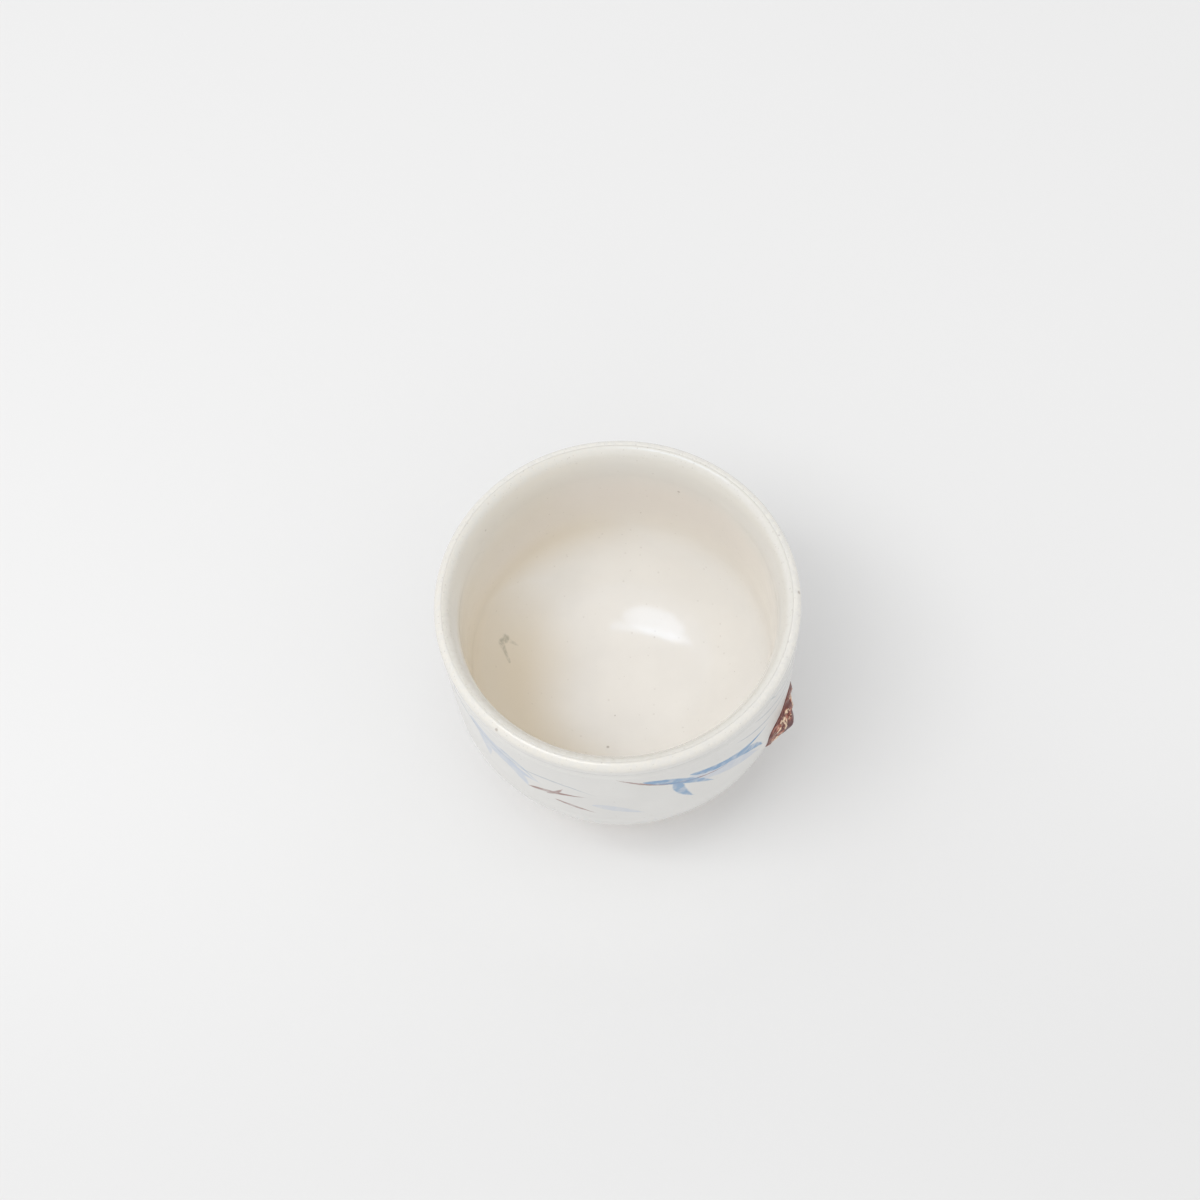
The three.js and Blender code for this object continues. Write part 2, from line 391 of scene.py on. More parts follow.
def outside_of_clay():
    """From the crown of the lip, over the groove and down the wall to the glaze's end."""
    points = arc(Vector((crown.x, lip_side.y)), LIP_ROUND, LIP_ROUND, 90, 0, LIP_STEPS)
    groove_top = lip_side.y - LIP_BAND
    for i in range(GROOVE_STEPS + 1):
        hollow = GROOVE_DEPTH * math.sin(math.pi * i / GROOVE_STEPS) ** 2
        points.append(wall_point(groove_top - GROOVE_WIDTH * i / GROOVE_STEPS) - Vector((hollow, 0)))
    wall_top = groove_top - GROOVE_WIDTH
    roll_top = GLAZE_END + ROLL_HEIGHT
    for i in range(1, WALL_STEPS + 1):
        points.append(wall_point(wall_top + (roll_top - wall_top) * i / WALL_STEPS))
    for i in range(1, ROLL_STEPS + 1):
        points.append(wall_point(GLAZE_END + ROLL_HEIGHT * (1 - i / ROLL_STEPS)))
    return points


def inside_of_clay():
    """From the crown of the lip over the shoulder and down the bowl to the floor's middle."""
    shoulder_foot = wall_point(crown.y - SHOULDER_DEPTH)
    reach = crown.x - (shoulder_foot.x - WALL)
    points = arc(Vector((crown.x, shoulder_foot.y)), reach, SHOULDER_DEPTH, 90, 180, SHOULDER_STEPS)
    inner_top = points[-1]
    inner_belly = BELLY - Vector((WALL, 0))
    for i in range(1, INNER_WALL_STEPS):
        points.append(inner_top.lerp(inner_belly, i / INNER_WALL_STEPS))
    belly_handle = inner_belly + wall_down * HEEL_RUN
    floor_handle = Vector((FLOOR_RUN, CLAY_FLOOR))
    middle = Vector((0, CLAY_FLOOR))
    for i in range(BOWL_STEPS + 1):
        t = i / BOWL_STEPS
        heel = inner_belly * (1 - t) ** 3 + belly_handle * 3 * t * (1 - t) ** 2
        points.append(heel + floor_handle * 3 * t**2 * (1 - t) + middle * t**3)
    return points


clay_outside = outside_of_clay()
clay_inside = inside_of_clay()
print("outline points:", len(clay_outside), "outside,", len(clay_inside), "inside")

# %% [markdown]
# ## The coats
#
# Glaze is a skin of even thickness, so a coat's face is the clay's outline pushed off it along its
# own normals. A Solidify modifier could thicken the clay, but at the foot the outer glaze has crept
# into a small roll, and that needs a thickness of its own at each height.

# %% Faces of the coats
ON_AXIS = 1e-6
ROLL_SWELL = 0.35 * MM


def coat_face(clay, side, thickness_at):
    """The clay's points pushed off it, so that the coat follows every curve."""
    face = []
    for i, point in enumerate(clay):
        along = (clay[min(i + 1, len(clay) - 1)] - clay[max(i - 1, 0)]).normalized()
        facing = Vector((-along.y, along.x)) * side
        if i == 0 or point.x < ON_AXIS:
            facing = Vector((0, 1))
        face.append(point + facing * thickness_at(point.y))
    return face


def outer_thickness(height):
    share = min(max((GLAZE_END + ROLL_HEIGHT - height) / ROLL_HEIGHT, 0), 1)
    return (GLAZE + ROLL_SWELL * math.sin(math.pi * share)) * math.sqrt(1 - share**4)


inner_face = coat_face(clay_inside, -1, lambda height: GLAZE)
outer_face = coat_face(clay_outside, 1, outer_thickness)
print("widest coat radius", round(max(point.x for point in outer_face) / MM, 2))

# %% [markdown]
# ## Turning on the wheel
#
# Spin sweeps the outline round the Z axis, as the wheel does. A Screw modifier would do the same,
# but Spin leaves points that can be moved one by one. No thrown rim is quite round or level, so
# every point is then moved a little by one smooth function. The same function moves the clay and
# both coats, so they stay one inside the other.

# %% Wheel
RIM_OVAL = 0.3 * MM
RIM_WAVE = 0.22 * MM
THROWING_RING = 0.02 * MM
RING_PITCH = 9 * MM
OVAL_TURN = 0.5
# Each wave of the rim: its share of the height, its lobes, its turn in radians.
WAVES = [(0.6, 2, -1.0), (0.4, 3, 0.7)]


def lobes(angle, count, turned):
    """A wave round the cup between 0 and 1, with a number of lobes."""
    return 0.5 - 0.5 * math.cos(count * angle + turned)


def thrown(point):
    """The wheel's small faults: an oval, wavy rim and shallow rings up the wall. It only shrinks."""
    radius = math.hypot(point.x, point.y)
    if radius < ON_AXIS:
        return point
    angle = math.atan2(point.y, point.x)
    climb = min(max((point.z - FOOT_HEIGHT) / (CUP_HEIGHT - FOOT_HEIGHT), 0), 1)
    oval = RIM_OVAL * climb**2 * lobes(angle, 2, OVAL_TURN)
    dip = RIM_WAVE * climb**2 * sum(share * lobes(angle, *wave) for share, *wave in WAVES)
    spiral = 2 * math.pi * point.z / RING_PITCH + angle
    ring = THROWING_RING * math.sin(math.pi * climb) * (0.5 - 0.5 * math.sin(spiral))
    shrink = 1 - (oval + ring * min(radius / BELLY.x, 1)) / RIM_RADIUS
    return Vector((point.x * shrink, point.y * shrink, point.z - dip))


rim_front = thrown(Vector((0, -RIM_RADIUS, CUP_HEIGHT)))
print("in front the rim moves to", [round(c / MM, 2) for c in rim_front])

# %% Spin
TURN_STEPS = 192
OUTLINE_MERGE = 1e-7


def sweep(shape, steps, merge):
    """Spins all that a bmesh holds once round the Z axis and closes the seam."""
    bmesh.ops.spin(
        shape,
        geom=shape.verts[:] + shape.edges[:],
        cent=(0, 0, 0),
        axis=(0, 0, 1),
        angle=2 * math.pi,
        steps=steps,
        use_merge=True,
    )
    bmesh.ops.remove_doubles(shape, verts=shape.verts[:], dist=merge)


def spun(points, closed):
    """A bmesh of an outline swept once round the Z axis."""
    shape = bmesh.new()
    ring = [shape.verts.new((p.x, 0, p.y)) for p in points]
    for pair in list(zip(ring, ring[1:])) + ([(ring[-1], ring[0])] if closed else []):
        shape.edges.new(pair)
    sweep(shape, TURN_STEPS, OUTLINE_MERGE)
    for vert in shape.verts:
        vert.co = thrown(vert.co)
    bmesh.ops.recalc_face_normals(shape, faces=shape.faces[:])
    return shape


def new_piece(name, shape, finish, node):
    mesh = bpy.data.meshes.new(name)
    shape.to_mesh(mesh)
    shape.free()
    mesh.shade_smooth()
    mesh.materials.append(finish)
    piece = bpy.data.objects.new(name, mesh)
    bpy.context.scene.collection.objects.link(piece)
    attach(piece, "root")
    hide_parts(node)
    print(name, "has", len(mesh.polygons), "faces")


# %% [markdown]
# ## The glazes
#
# Both coats are one recipe: a glossy, faintly cloudy white with fine iron specks and a rippled
# skin. On the lip it runs thin, and the sandy clay shows through. The recipe could be copied into
# two materials, but as functions it is written once, and each coat then adds its own tones.

# %% Glaze recipe
CLOUD_SIZE, CLOUD_DETAIL = 14 * MM, 3
CLOUD_RANGE, CLOUD_SHADE = (0.3, 0.7), 0.965
LIP_FADE = CUP_HEIGHT - 3.4 * MM, CUP_HEIGHT - 0.8 * MM
LIP_GRAIN, LIP_DETAIL = 1.2 * MM, 4
LIP_RANGE, LIP_LEAST = (0.38, 0.62), 0.5
RIPPLE_SIZE, RIPPLE_DETAIL, RIPPLE_SHARE = 2.2 * MM, 0.5, 0.6
SAND_SIZE, SAND_SHARE = 0.5 * MM, 0.6
PIT_CELL, PIT_RADIUS = 1.4 * MM, 0.14 * MM


def glaze(name, colour):
    """The finish, its cloudy colour, where the coat runs thin, and where the lip shows through."""
    finish = Finish(name)
    deep = tuple(c * CLOUD_SHADE for c in colour)
    cloud = finish.noise(CLOUD_SIZE, CLOUD_DETAIL).step(*CLOUD_RANGE)
    thin = finish.z.step(*LIP_FADE)
    grain = finish.noise(LIP_GRAIN, LIP_DETAIL).step(*LIP_RANGE)
    lip = thin * (LIP_LEAST + (1 - LIP_LEAST) * grain)
    return finish, finish.colour(deep, colour, cloud), thin, lip


def orange_peel(finish, thin, depth, pinholes):
    """The skin of the glaze: soft ripples, sand on the thin lip, and pinholes."""
    ripple = finish.noise(RIPPLE_SIZE, RIPPLE_DETAIL)
    pits = finish.specks(PIT_CELL, PIT_RADIUS) * pinholes
    sand = finish.noise(SAND_SIZE) * thin
    return finish.bump(ripple * RIPPLE_SHARE + sand * SAND_SHARE - pits, depth)


print("the glaze thins over the top", round((CUP_HEIGHT - LIP_FADE[0]) / MM, 1))

# %% Iron specks
IRON_SPECK = (0.20, 0.135, 0.085)
# Each kind of speck: cell and radius in millimetres, the share of cells that have one, strength.
FINE_SPECKS = (2.4, 0.40, 1.0, 0.11)
COARSE_SPECKS = (8.0, 0.45, 1.0, 0.30)
LIP_SPECKS = (0.9, 0.26, 0.9, 0.20)
SPOT_STRENGTH = 0.45
SOFT_EDGE = (1.0, 0.3)


def on_face(face, azimuth, height):
    """The place on a coat's face at an azimuth in degrees and a height in millimetres."""
    level = height * MM
    upper, lower = next(pair for pair in zip(face, face[1:]) if pair[1].y <= level <= pair[0].y)
    radius = lower.lerp(upper, (level - lower.y) / (upper.y - lower.y)).x
    angle = math.radians(azimuth)
    return thrown(Vector((radius * math.cos(angle), radius * math.sin(angle), level)))


def spot(finish, place, radius):
    """A soft round spot about a place on the surface, with its radius in millimetres."""
    away = finish.vector("DISTANCE", finish.place, tuple(place), "Value")
    return (away / (radius * MM)).step(*SOFT_EDGE) * SPOT_STRENGTH


def scattered(finish, cell, radius, share, strength):
    return finish.specks(cell * MM, radius * MM, share) * strength


def speckled(finish, base, thin, face, spots):
    """The colour with iron specks everywhere, more on the lip, and larger spots at listed places."""
    mask = scattered(finish, *FINE_SPECKS).most(scattered(finish, *COARSE_SPECKS))
    mask = mask.most(scattered(finish, *LIP_SPECKS) * thin)
    for azimuth, height, radius in spots:
        mask = mask.most(spot(finish, on_face(face, azimuth, height), radius))
    return finish.colour(base, IRON_SPECK, mask)


# %% [markdown]
# ## The smudge of ash
#
# On the inner wall at the left there is one grey smudge with two tails. It could be a picture, but
# four soft streaks are enough. A streak is the distance from a short line on the wall, divided by
# a width that changes on the way, and a little noise breaks it up.

# %% Smudge
ASH = (0.33, 0.31, 0.22)
ASH_GRAIN, ASH_DETAIL, ASH_RANGE = 0.9 * MM, 3, (0.22, 0.62)
# Each streak: azimuth and height of its start and of its end, its two half widths, its strength.
SMUDGE = [
    (156.0, 23.9, 153.0, 22.9, 1.2, 1.25, 0.56),
    (153.0, 23.5, 157.0, 23.4, 1.1, 1.0, 0.50),
    (156.0, 23.6, 162.0, 20.6, 1.05, 0.55, 0.43),
    (153.0, 22.6, 152.0, 20.3, 0.8, 0.4, 0.28),
]


def streak(finish, first, last, start_width, end_width, strength):
    """A soft streak between two places on the surface, with its half widths in millimetres."""
    run = last - first
    offset = finish.vector("SUBTRACT", finish.place, tuple(first))
    share = finish.vector("DOT_PRODUCT", offset, tuple(run), "Value") / run.length_squared
    share = share.most(0.0).least(1.0)
    nearest = finish.node("VectorMath", {"operation": "SCALE"}, {0: tuple(run), "Scale": share})
    away = finish.vector("DISTANCE", offset, nearest, "Value")
    width = start_width * MM + share * ((end_width - start_width) * MM)
    return (away / width).step(*SOFT_EDGE) * strength


def smudged(finish, base, face):
    """The colour with the smudge of ash on it."""
    mask = None
    for start, height, end, end_height, *brush in SMUDGE:
        mark = streak(finish, on_face(face, start, height), on_face(face, end, end_height), *brush)
        mask = mark if mask is None else mask.most(mark)
    grain = finish.noise(ASH_GRAIN, ASH_DETAIL).step(*ASH_RANGE)
    return finish.colour(base, ASH, mask * grain)


smudge_start = on_face(inner_face, *SMUDGE[0][:2])
print("the smudge starts at", [round(c / MM, 1) for c in smudge_start])

# %% [markdown]
# ## The inside
#
# Inside, the glaze lies thick and looks cream. Painted shade darkens and warms it on the left and up
# the wall, greys it on the back and the upper wall, and deepens it high on the back left. Towards the
# lip it meets the whiter glaze of the outside, painted warmer on the shaded back left, and the lip's
# inner side is painted darker at the front left. The tones could be painted on a texture, but masks
# by height, by side and by distance from the axis need no picture and stay smooth close up. Each
# tone is laid over the last.

# %% Tones of the inside
# Painted shade in three tones: warm on the left and up the wall, grey on the back, deep on the back
# left.
WARM_SHADE = (0.835, 0.75, 0.612)
SHADED = (0.80, 0.747, 0.685)
DEEP_SHADE = (0.725, 0.655, 0.51)
INNER_WHITE = (0.742, 0.719, 0.671)
# A warmer copy of the whiter glaze: painted shade on the back left.
SHADED_WHITE = (0.745, 0.705, 0.628)
INNER_LIP = (0.715, 0.694, 0.64)
# A darker copy of the inner lip's tone: painted shade at the front left.
SHADED_INNER_LIP = (0.675, 0.645, 0.58)

BACK_LEFT, LEFT, BACK_RIGHT = (-0.78, 0.62), (-0.978, -0.208), (1, 1)
WARM_SHADE_SIDE, WARM_SHADE_RISE = (0.2, 0.85), (22 * MM, 40 * MM)
LOW_SHADE_SIDE, LOW_SHADE_OUTWARD = (0.2, 0.95), (9 * MM, 28 * MM)
PALE_SHADE_RISE, PALE_SHADE = (28 * MM, 42 * MM), 0.35
SHADE_RISE, SHADE_BACK, SHADE = (34 * MM, 46 * MM), (8 * MM, 28 * MM), 0.6
UPPER_RISE, UPPER_SHADE = (42 * MM, 54 * MM), 0.34
DEEP_SHADE_SIDE, DEEP_SHADE_SHARE = (0.6, 0.85), 0.4
SHADED_WHITE_SIDE = (0.45, 0.85)
OVERLAP_RISE = CUP_HEIGHT - 18 * MM, CUP_HEIGHT - 4 * MM
OVERLAP_WAVE, OVERLAP_WAVE_SIZE = 6 * MM, 18 * MM
INNER_LIP_LIT_SIDE = (-50 * MM, -5 * MM)


def painted_shade_inside(finish, base, back_left):
    """The cream with painted shade: warm on the left and up the wall, grey on the back, deep high on
    the back left.
    """
    outward = finish.from_axis()
    left = finish.toward(LEFT) / outward.most(MM)
    # Painted shade: on the back left up the wall, on the left of the floor, and faintly all round the
    # upper wall.
    warm_shade = back_left.step(*WARM_SHADE_SIDE) * finish.z.step(*WARM_SHADE_RISE)
    warm_shade = warm_shade.most(left.step(*LOW_SHADE_SIDE) * outward.step(*LOW_SHADE_OUTWARD))
    warm_shade = warm_shade.most(finish.z.step(*PALE_SHADE_RISE) * PALE_SHADE)
    base = finish.colour(base, WARM_SHADE, warm_shade)
    # Painted shade on the back wall and all round the upper wall.
    shade = finish.z.step(*SHADE_RISE) * finish.y.step(*SHADE_BACK) * SHADE
    upper = finish.z.step(*UPPER_RISE)
    base = finish.colour(base, SHADED, shade + upper * UPPER_SHADE)
    # Deeper painted shade high on the back left.
    return finish.colour(base, DEEP_SHADE, upper * back_left.step(*DEEP_SHADE_SIDE) * DEEP_SHADE_SHARE)


def overlapped(finish, base, lip, back_left):
    """The colour with the whiter glaze below the lip, painted warmer on the shaded back left, and the
    lip's tone, painted darker at the front left.
    """
    level = finish.z + OVERLAP_WAVE * (finish.noise(OVERLAP_WAVE_SIZE) - 0.5)
    # The whiter glaze is painted warmer on the back left, where the shade falls.
    whiter = finish.colour(INNER_WHITE, SHADED_WHITE, back_left.step(*SHADED_WHITE_SIDE))
    base = finish.colour(base, whiter, level.step(*OVERLAP_RISE))
    # The inner lip is painted lighter toward the back right and darker toward the front left.
    lip_lit_side = finish.toward(BACK_RIGHT).step(*INNER_LIP_LIT_SIDE)
    return finish.colour(base, finish.colour(SHADED_INNER_LIP, INNER_LIP, lip_lit_side), lip)


# %% Inner glaze
CREAM = (0.943, 0.922, 0.885)
# Each spot: azimuth in degrees, height and radius in millimetres.
INNER_SPOTS = [(62.5, 57.7, 0.5), (-111.5, 13.5, 0.5), (-68.0, 24.0, 0.35)]
INNER_RIPPLE, INNER_PINHOLES = 0.045 * MM, 0.5
COOL_GLOSS = (0.58, 0.74, 1.0, 1)

cream_finish, cream, inner_thin, inner_lip = glaze("cream_glaze", CREAM)
to_back_left = cream_finish.toward(BACK_LEFT) / RIM_RADIUS
cream = painted_shade_inside(cream_finish, cream, to_back_left)
cream = overlapped(cream_finish, cream, inner_lip, to_back_left)
cream = speckled(cream_finish, cream, inner_thin, inner_face, INNER_SPOTS)
inner_finish = cream_finish.finish_with(
    Base_Color=smudged(cream_finish, cream, inner_face),
    Normal=orange_peel(cream_finish, inner_thin, INNER_RIPPLE, INNER_PINHOLES),
    Roughness=0.13,
    IOR=1.5,
    Specular_Tint=COOL_GLOSS,
)
inner_shape = spun(clay_inside[::-1] + inner_face, False)
new_piece("inside_glaze", inner_shape, inner_finish, "inner_glaze")

# %% [markdown]
# ## Brushwork under the outer glaze
#
# The painter's brush leaves one tapered stroke for each leaf. The strokes could be an image, but a
# formula needs none and stays crisp close up. A stroke is a mask in two lengths: the way round the
# wall from the front, and the height. Along it the half width swells quickly and runs out to a
# point, and a little noise frays its edge. Sprays of bamboo grass stand round the cup: cobalt
# leaves, pale washes, iron-brown stems and grey hair lines.

# %% Strokes
COBALT = (0.15, 0.30, 0.50)
WASH = (0.465, 0.525, 0.63)
STEM_BROWN = (0.27, 0.145, 0.125)
HAIR_GREY = (0.33, 0.38, 0.44)

# Each stroke: the way round, height, lean in degrees, length, width, bend, strength.
COBALT_LEAVES = [
    (2, 60, -42, 24, 3.6, 2.2, 0.95),
    (13, 57, -14, 26, 3.4, -2.4, 1.0),
    (10, 57, -74, 17, 3.2, -1.4, 0.9),
    (22, 53, -46, 20, 3.6, 2.0, 1.0),
    (-33, 58, -42, 15, 1.8, 1.2, 0.5),
    (-110, 54, -38, 24, 3.6, 1.8, 0.9),
    (-100, 52, -75, 18, 3.4, -1.4, 0.9),
    (80, 57, -20, 25, 3.4, -2.0, 0.9),
    (84, 56, -62, 19, 3.6, 1.6, 0.9),
]
WASH_LEAVES = [
    (12, 55, -36, 28, 7.0, 1.5, 0.7),
    (-42, 61, -30, 24, 6.4, -2.4, 0.9),
    (-36, 58, -58, 20, 5.4, 1.8, 0.8),
    (-40, 60, -82, 17, 4.0, 1.4, 0.7),
    (-10, 44, -24, 14, 3.6, 1.0, 0.5),
    (-106, 52, -58, 24, 7.0, 1.5, 0.7),
    (86, 55, -40, 25, 7.0, 1.4, 0.7),
]
BROWN_STEMS = [
    (-4, 63, -24, 34, 1.3, -2.0, 0.9),
    (-26, 43, 20, 17, 1.9, 0.8, 1.0),
    (-21, 44, 58, 9, 1.5, -0.5, 0.9),
    (-19, 42, -20, 11, 1.6, 0.4, 0.9),
    (-116, 58, -26, 28, 1.3, -1.6, 0.9),
    (72, 61, -22, 30, 1.3, 1.6, 0.9),
]
HAIR_LINES = [
    (-50, 65, -24, 30, 1.2, -2.6, 0.8),
    (-27, 53, -10, 20, 1.1, 2.8, 0.8),
    (25, 60, -20, 38, 1.0, -1.8, 0.8),
    (30, 63, -24, 38, 1.0, -1.4, 0.8),
    (36, 65, -30, 34, 0.9, -1.0, 0.7),
    (66, 61, -75, 24, 1.2, 1.6, 0.8),
]
# Laid in this order, so that the cobalt leaves end on top.
LAYERS = [
    (WASH, WASH_LEAVES),
    (HAIR_GREY, HAIR_LINES),
    (STEM_BROWN, BROWN_STEMS),
    (COBALT, COBALT_LEAVES),
]
print("strokes:", sum(len(rows) for _, rows in LAYERS))

# %% Brush
FRAY_SIZE, FRAY = 1.8 * MM, 0.5
LOAD_SIZE, LOAD_RANGE, DRY_BRUSH = 2.6 * MM, (0.3, 0.65), 0.55
BRUSH_DETAIL = 3
# With this swell a stroke is as wide as its row says at a third of its length.
STROKE_SWELL = 1.3
DRY_EDGE, WET_EDGE = 0.16, 0.12


def stroke(way, up, start, height, lean, length, width, bend, strength):
    """One brush stroke in millimetres: it swells quickly, bends and runs out to a point."""
    cos, sin = math.cos(math.radians(lean)), math.sin(math.radians(lean))
    along = ((way - start) * cos + (up - height) * sin) / length
    aside = (up - height) * cos - (way - start) * sin
    aside = aside - along * (1 - along) * (4 * bend)
    half = along.most(0) ** 0.5 * (1 - along) * (STROKE_SWELL * width)
    return (half - abs(aside)).step(0.0, DRY_EDGE + WET_EDGE * width) * strength


def painted(finish, base):
    """The colour with every layer of strokes on it, stronger where the brush was loaded."""
    azimuth = finish.x.math("ARCTAN2", finish.x, finish.y * -1)
    fray = (finish.noise(FRAY_SIZE, BRUSH_DETAIL) - 0.5) * FRAY
    way = azimuth * BELLY.x / MM + fray
    up = finish.z / MM + fray
    load = finish.noise(LOAD_SIZE, BRUSH_DETAIL).step(*LOAD_RANGE)
    load = DRY_BRUSH + (1 - DRY_BRUSH) * load
    for paint, rows in LAYERS:
        mask = stroke(way, up, *rows[0])
        for row in rows[1:]:
            mask = mask.most(stroke(way, up, *row))
        base = finish.colour(base, paint, mask * load)
    return base


# %% [markdown]
# ## The outside
#
# Outside, the same glaze is whiter and cooler, and its smoother skin keeps the outline clean. The
# lip is glossier than the wall. Its own tone is sandy at the front left and creamy at the back right,
# and on top of that it is painted darker at the front left and lighter at the back right, as shade
# and light fall on it. The coat could be a single face, but its end above the foot shows its
# thickness.
# So the outline runs up the coat's face and back down the clay, and the coat is a closed skin.

# %% Outer glaze
COOL_WHITE = (0.708, 0.70, 0.676)
# The two lip tones are partly the lip's own cream and sand, and partly painted light at the back
# right and painted shade at the front left.
LIP_CREAM_LIT = (0.785, 0.765, 0.715)
LIP_SAND_SHADE = (0.745, 0.72, 0.665)
OUTER_LIP_LIT_SIDE = (-40 * MM, 30 * MM)
# Each spot: azimuth in degrees, height and radius in millimetres.
LIP_SPOTS = [(-135.5, 69.2, 0.6), (-2.5, 69.4, 0.6)]
OUTER_RIPPLE, OUTER_PINHOLES = 0.025 * MM, 0.0
WALL_ROUGHNESS, LIP_POLISH = 0.26, 0.16

white_finish, white, outer_thin, outer_lip = glaze("white_glaze", COOL_WHITE)
white = painted(white_finish, white)
# The lip is painted lighter toward the back right and darker toward the front left.
lip_lit_side = white_finish.toward(BACK_RIGHT).step(*OUTER_LIP_LIT_SIDE)
lip_tone_and_shade = white_finish.colour(LIP_SAND_SHADE, LIP_CREAM_LIT, lip_lit_side)
white = white_finish.colour(white, lip_tone_and_shade, outer_lip)
outer_finish = white_finish.finish_with(
    Base_Color=speckled(white_finish, white, outer_thin, outer_face, LIP_SPOTS),
    Normal=orange_peel(white_finish, outer_thin, OUTER_RIPPLE, OUTER_PINHOLES),
    Roughness=WALL_ROUGHNESS - LIP_POLISH * outer_thin,
    IOR=1.5,
)
outer_shape = spun(outer_face[::-1] + clay_outside[:-1], True)
new_piece("outside_glaze", outer_shape, outer_finish, "outer_glaze")

# %% [markdown]
# ## Bare clay
#
# The body shows only where the glaze stops: a narrow band above the foot, and the base inside the
# ring. It is buff, gritty stoneware with the marks of the turning tool, and the fire has flashed
# it warmer along the edge of the glaze. Body and foot could share one material. They share the
# recipe only, so that either can be changed alone.

# %% Clay
BUFF = (0.53, 0.44, 0.33)
BUFF_DARK = (0.40, 0.315, 0.225)
FLASHED = (0.50, 0.27, 0.13)
GRIT = (0.70, 0.62, 0.50)
CLAY_DETAIL = 4
BUFF_SIZE, BUFF_RANGE = 5 * MM, (0.25, 0.75)
FLASH_REACH, FLASH_STRENGTH = 2.2 * MM, 0.8
GRIT_CELL, GRIT_RADIUS, GRIT_SHARE, GRIT_STRENGTH = 1.3 * MM, 0.3 * MM, 0.3, 0.6
CLAY_SPECKS = (3.1, 0.25, 0.2, 0.8)
TOOL_PITCH, TOOL_MARK = 0.9 * MM, 0.35
GRAIN_SIZE, GRAIN_MARK = 0.7 * MM, 1.5
CLAY_DEPTH = 0.09 * MM


def bare_clay(name):
    """Buff clay, flashed along the glaze, with grit, iron specks and tool marks."""
    finish = Finish(name)
    cloud = finish.noise(BUFF_SIZE, CLAY_DETAIL).step(*BUFF_RANGE)
    base = finish.colour(BUFF_DARK, BUFF, cloud)
    flash = (abs(finish.z - GLAZE_END) / FLASH_REACH).step(1, 0) * FLASH_STRENGTH
    base = finish.colour(base, FLASHED, flash)
    grit = finish.specks(GRIT_CELL, GRIT_RADIUS, GRIT_SHARE)
    base = finish.colour(base, GRIT, grit * GRIT_STRENGTH)
    base = finish.colour(base, IRON_SPECK, scattered(finish, *CLAY_SPECKS))
    rings = ((finish.from_axis() + finish.z) * (2 * math.pi / TOOL_PITCH)).sine()
    grain = finish.noise(GRAIN_SIZE, CLAY_DETAIL)
    normal = finish.bump(rings * TOOL_MARK + grain * GRAIN_MARK + grit, CLAY_DEPTH)
    return finish.finish_with(Base_Color=base, Normal=normal, Roughness=0.88)


underside = [Vector((0, FOOT_HEIGHT)), base_edge]
body_shape = spun(underside + clay_outside[::-1] + clay_inside[1:], False)
new_piece("clay_body", body_shape, bare_clay("stoneware"), "cup_body")

# %% [markdown]
# ## The foot ring
#
# The foot is a ring of the same clay, pressed on and turned true. Its section is a short taper with
# two rounded edges to stand on. A Bevel modifier could round them, but the arcs are already at hand
# in the outline, so the ring is spun like the rest.

# %% Foot ring
FOOT_WIDTH = 5 * MM
FOOT_TAPER = 0.5 * MM
FOOT_EDGE = 0.9 * MM
EDGE_STEPS = 8

seat_inside = Vector((FOOT_RADIUS - FOOT_WIDTH, FOOT_HEIGHT))
inner_edge = Vector((seat_inside.x + FOOT_TAPER + FOOT_EDGE, FOOT_EDGE))
outer_edge = Vector((FOOT_RADIUS - FOOT_TAPER - FOOT_EDGE, FOOT_EDGE))
foot_outline = [
    seat_inside,
    *arc(inner_edge, FOOT_EDGE, FOOT_EDGE, 180, 270, EDGE_STEPS),
    *arc(outer_edge, FOOT_EDGE, FOOT_EDGE, 270, 360, EDGE_STEPS),
    Vector((FOOT_RADIUS, FOOT_HEIGHT)),
]
new_piece("foot", spun(foot_outline, True), bare_clay("foot_clay"), "foot_ring")

# %% [markdown]
# ## The relief boss
#
# The boss was pinched up from iron clay and worked with a point. It could be sculpted, but a
# formula can be measured and changed. A disc is spun flat, raised to a tip a little below its
# middle, nicked at its upper edge, roughened with ridged noise, and laid over the wall. How far out
# a point lies and how high its ridge is are kept as attributes. The finish reads them, so that the
# gilding sits on the ridges.

# %% Boss outline
BOSS_AZIMUTH = math.radians(-24.8)
BOSS_MIDDLE = 33.4 * MM
BOSS_WIDTH = 16.6 * MM
BOSS_LENGTH = 16 * MM
BOSS_PINCH, BOSS_LOBES = 0.5 * MM, 5
BOSS_NICK, NICK_ANGLE, NICK_POWER = 1.8 * MM, math.radians(98), 6
BOSS_TIP_ACROSS = -0.4 * MM
BOSS_TIP_UP = -1.2 * MM


def boss_place(share, angle):
    """Where a point of the disc lies, across and up from the boss's middle."""
    nick = BOSS_NICK * max(math.cos(angle - NICK_ANGLE), 0) ** NICK_POWER
    spread = BOSS_PINCH * math.cos(BOSS_LOBES * angle) - nick
    across = (BOSS_WIDTH / 2 + spread) * math.cos(angle) * share + BOSS_TIP_ACROSS * (1 - share)
    up = (BOSS_LENGTH / 2 + spread) * math.sin(angle) * share + BOSS_TIP_UP * (1 - share)
    return across, up


def on_wall(across, up, lift):
    height = BOSS_MIDDLE + up
    place = wall_point(height) + wall_facing(height) * lift
    azimuth = BOSS_AZIMUTH + across / wall_point(BOSS_MIDDLE).x
    return Vector((place.x * math.cos(azimuth), place.x * math.sin(azimuth), place.y))


boss_middle = on_wall(0, 0, 0)
print("the boss's middle is at", [round(c / MM, 1) for c in boss_middle])

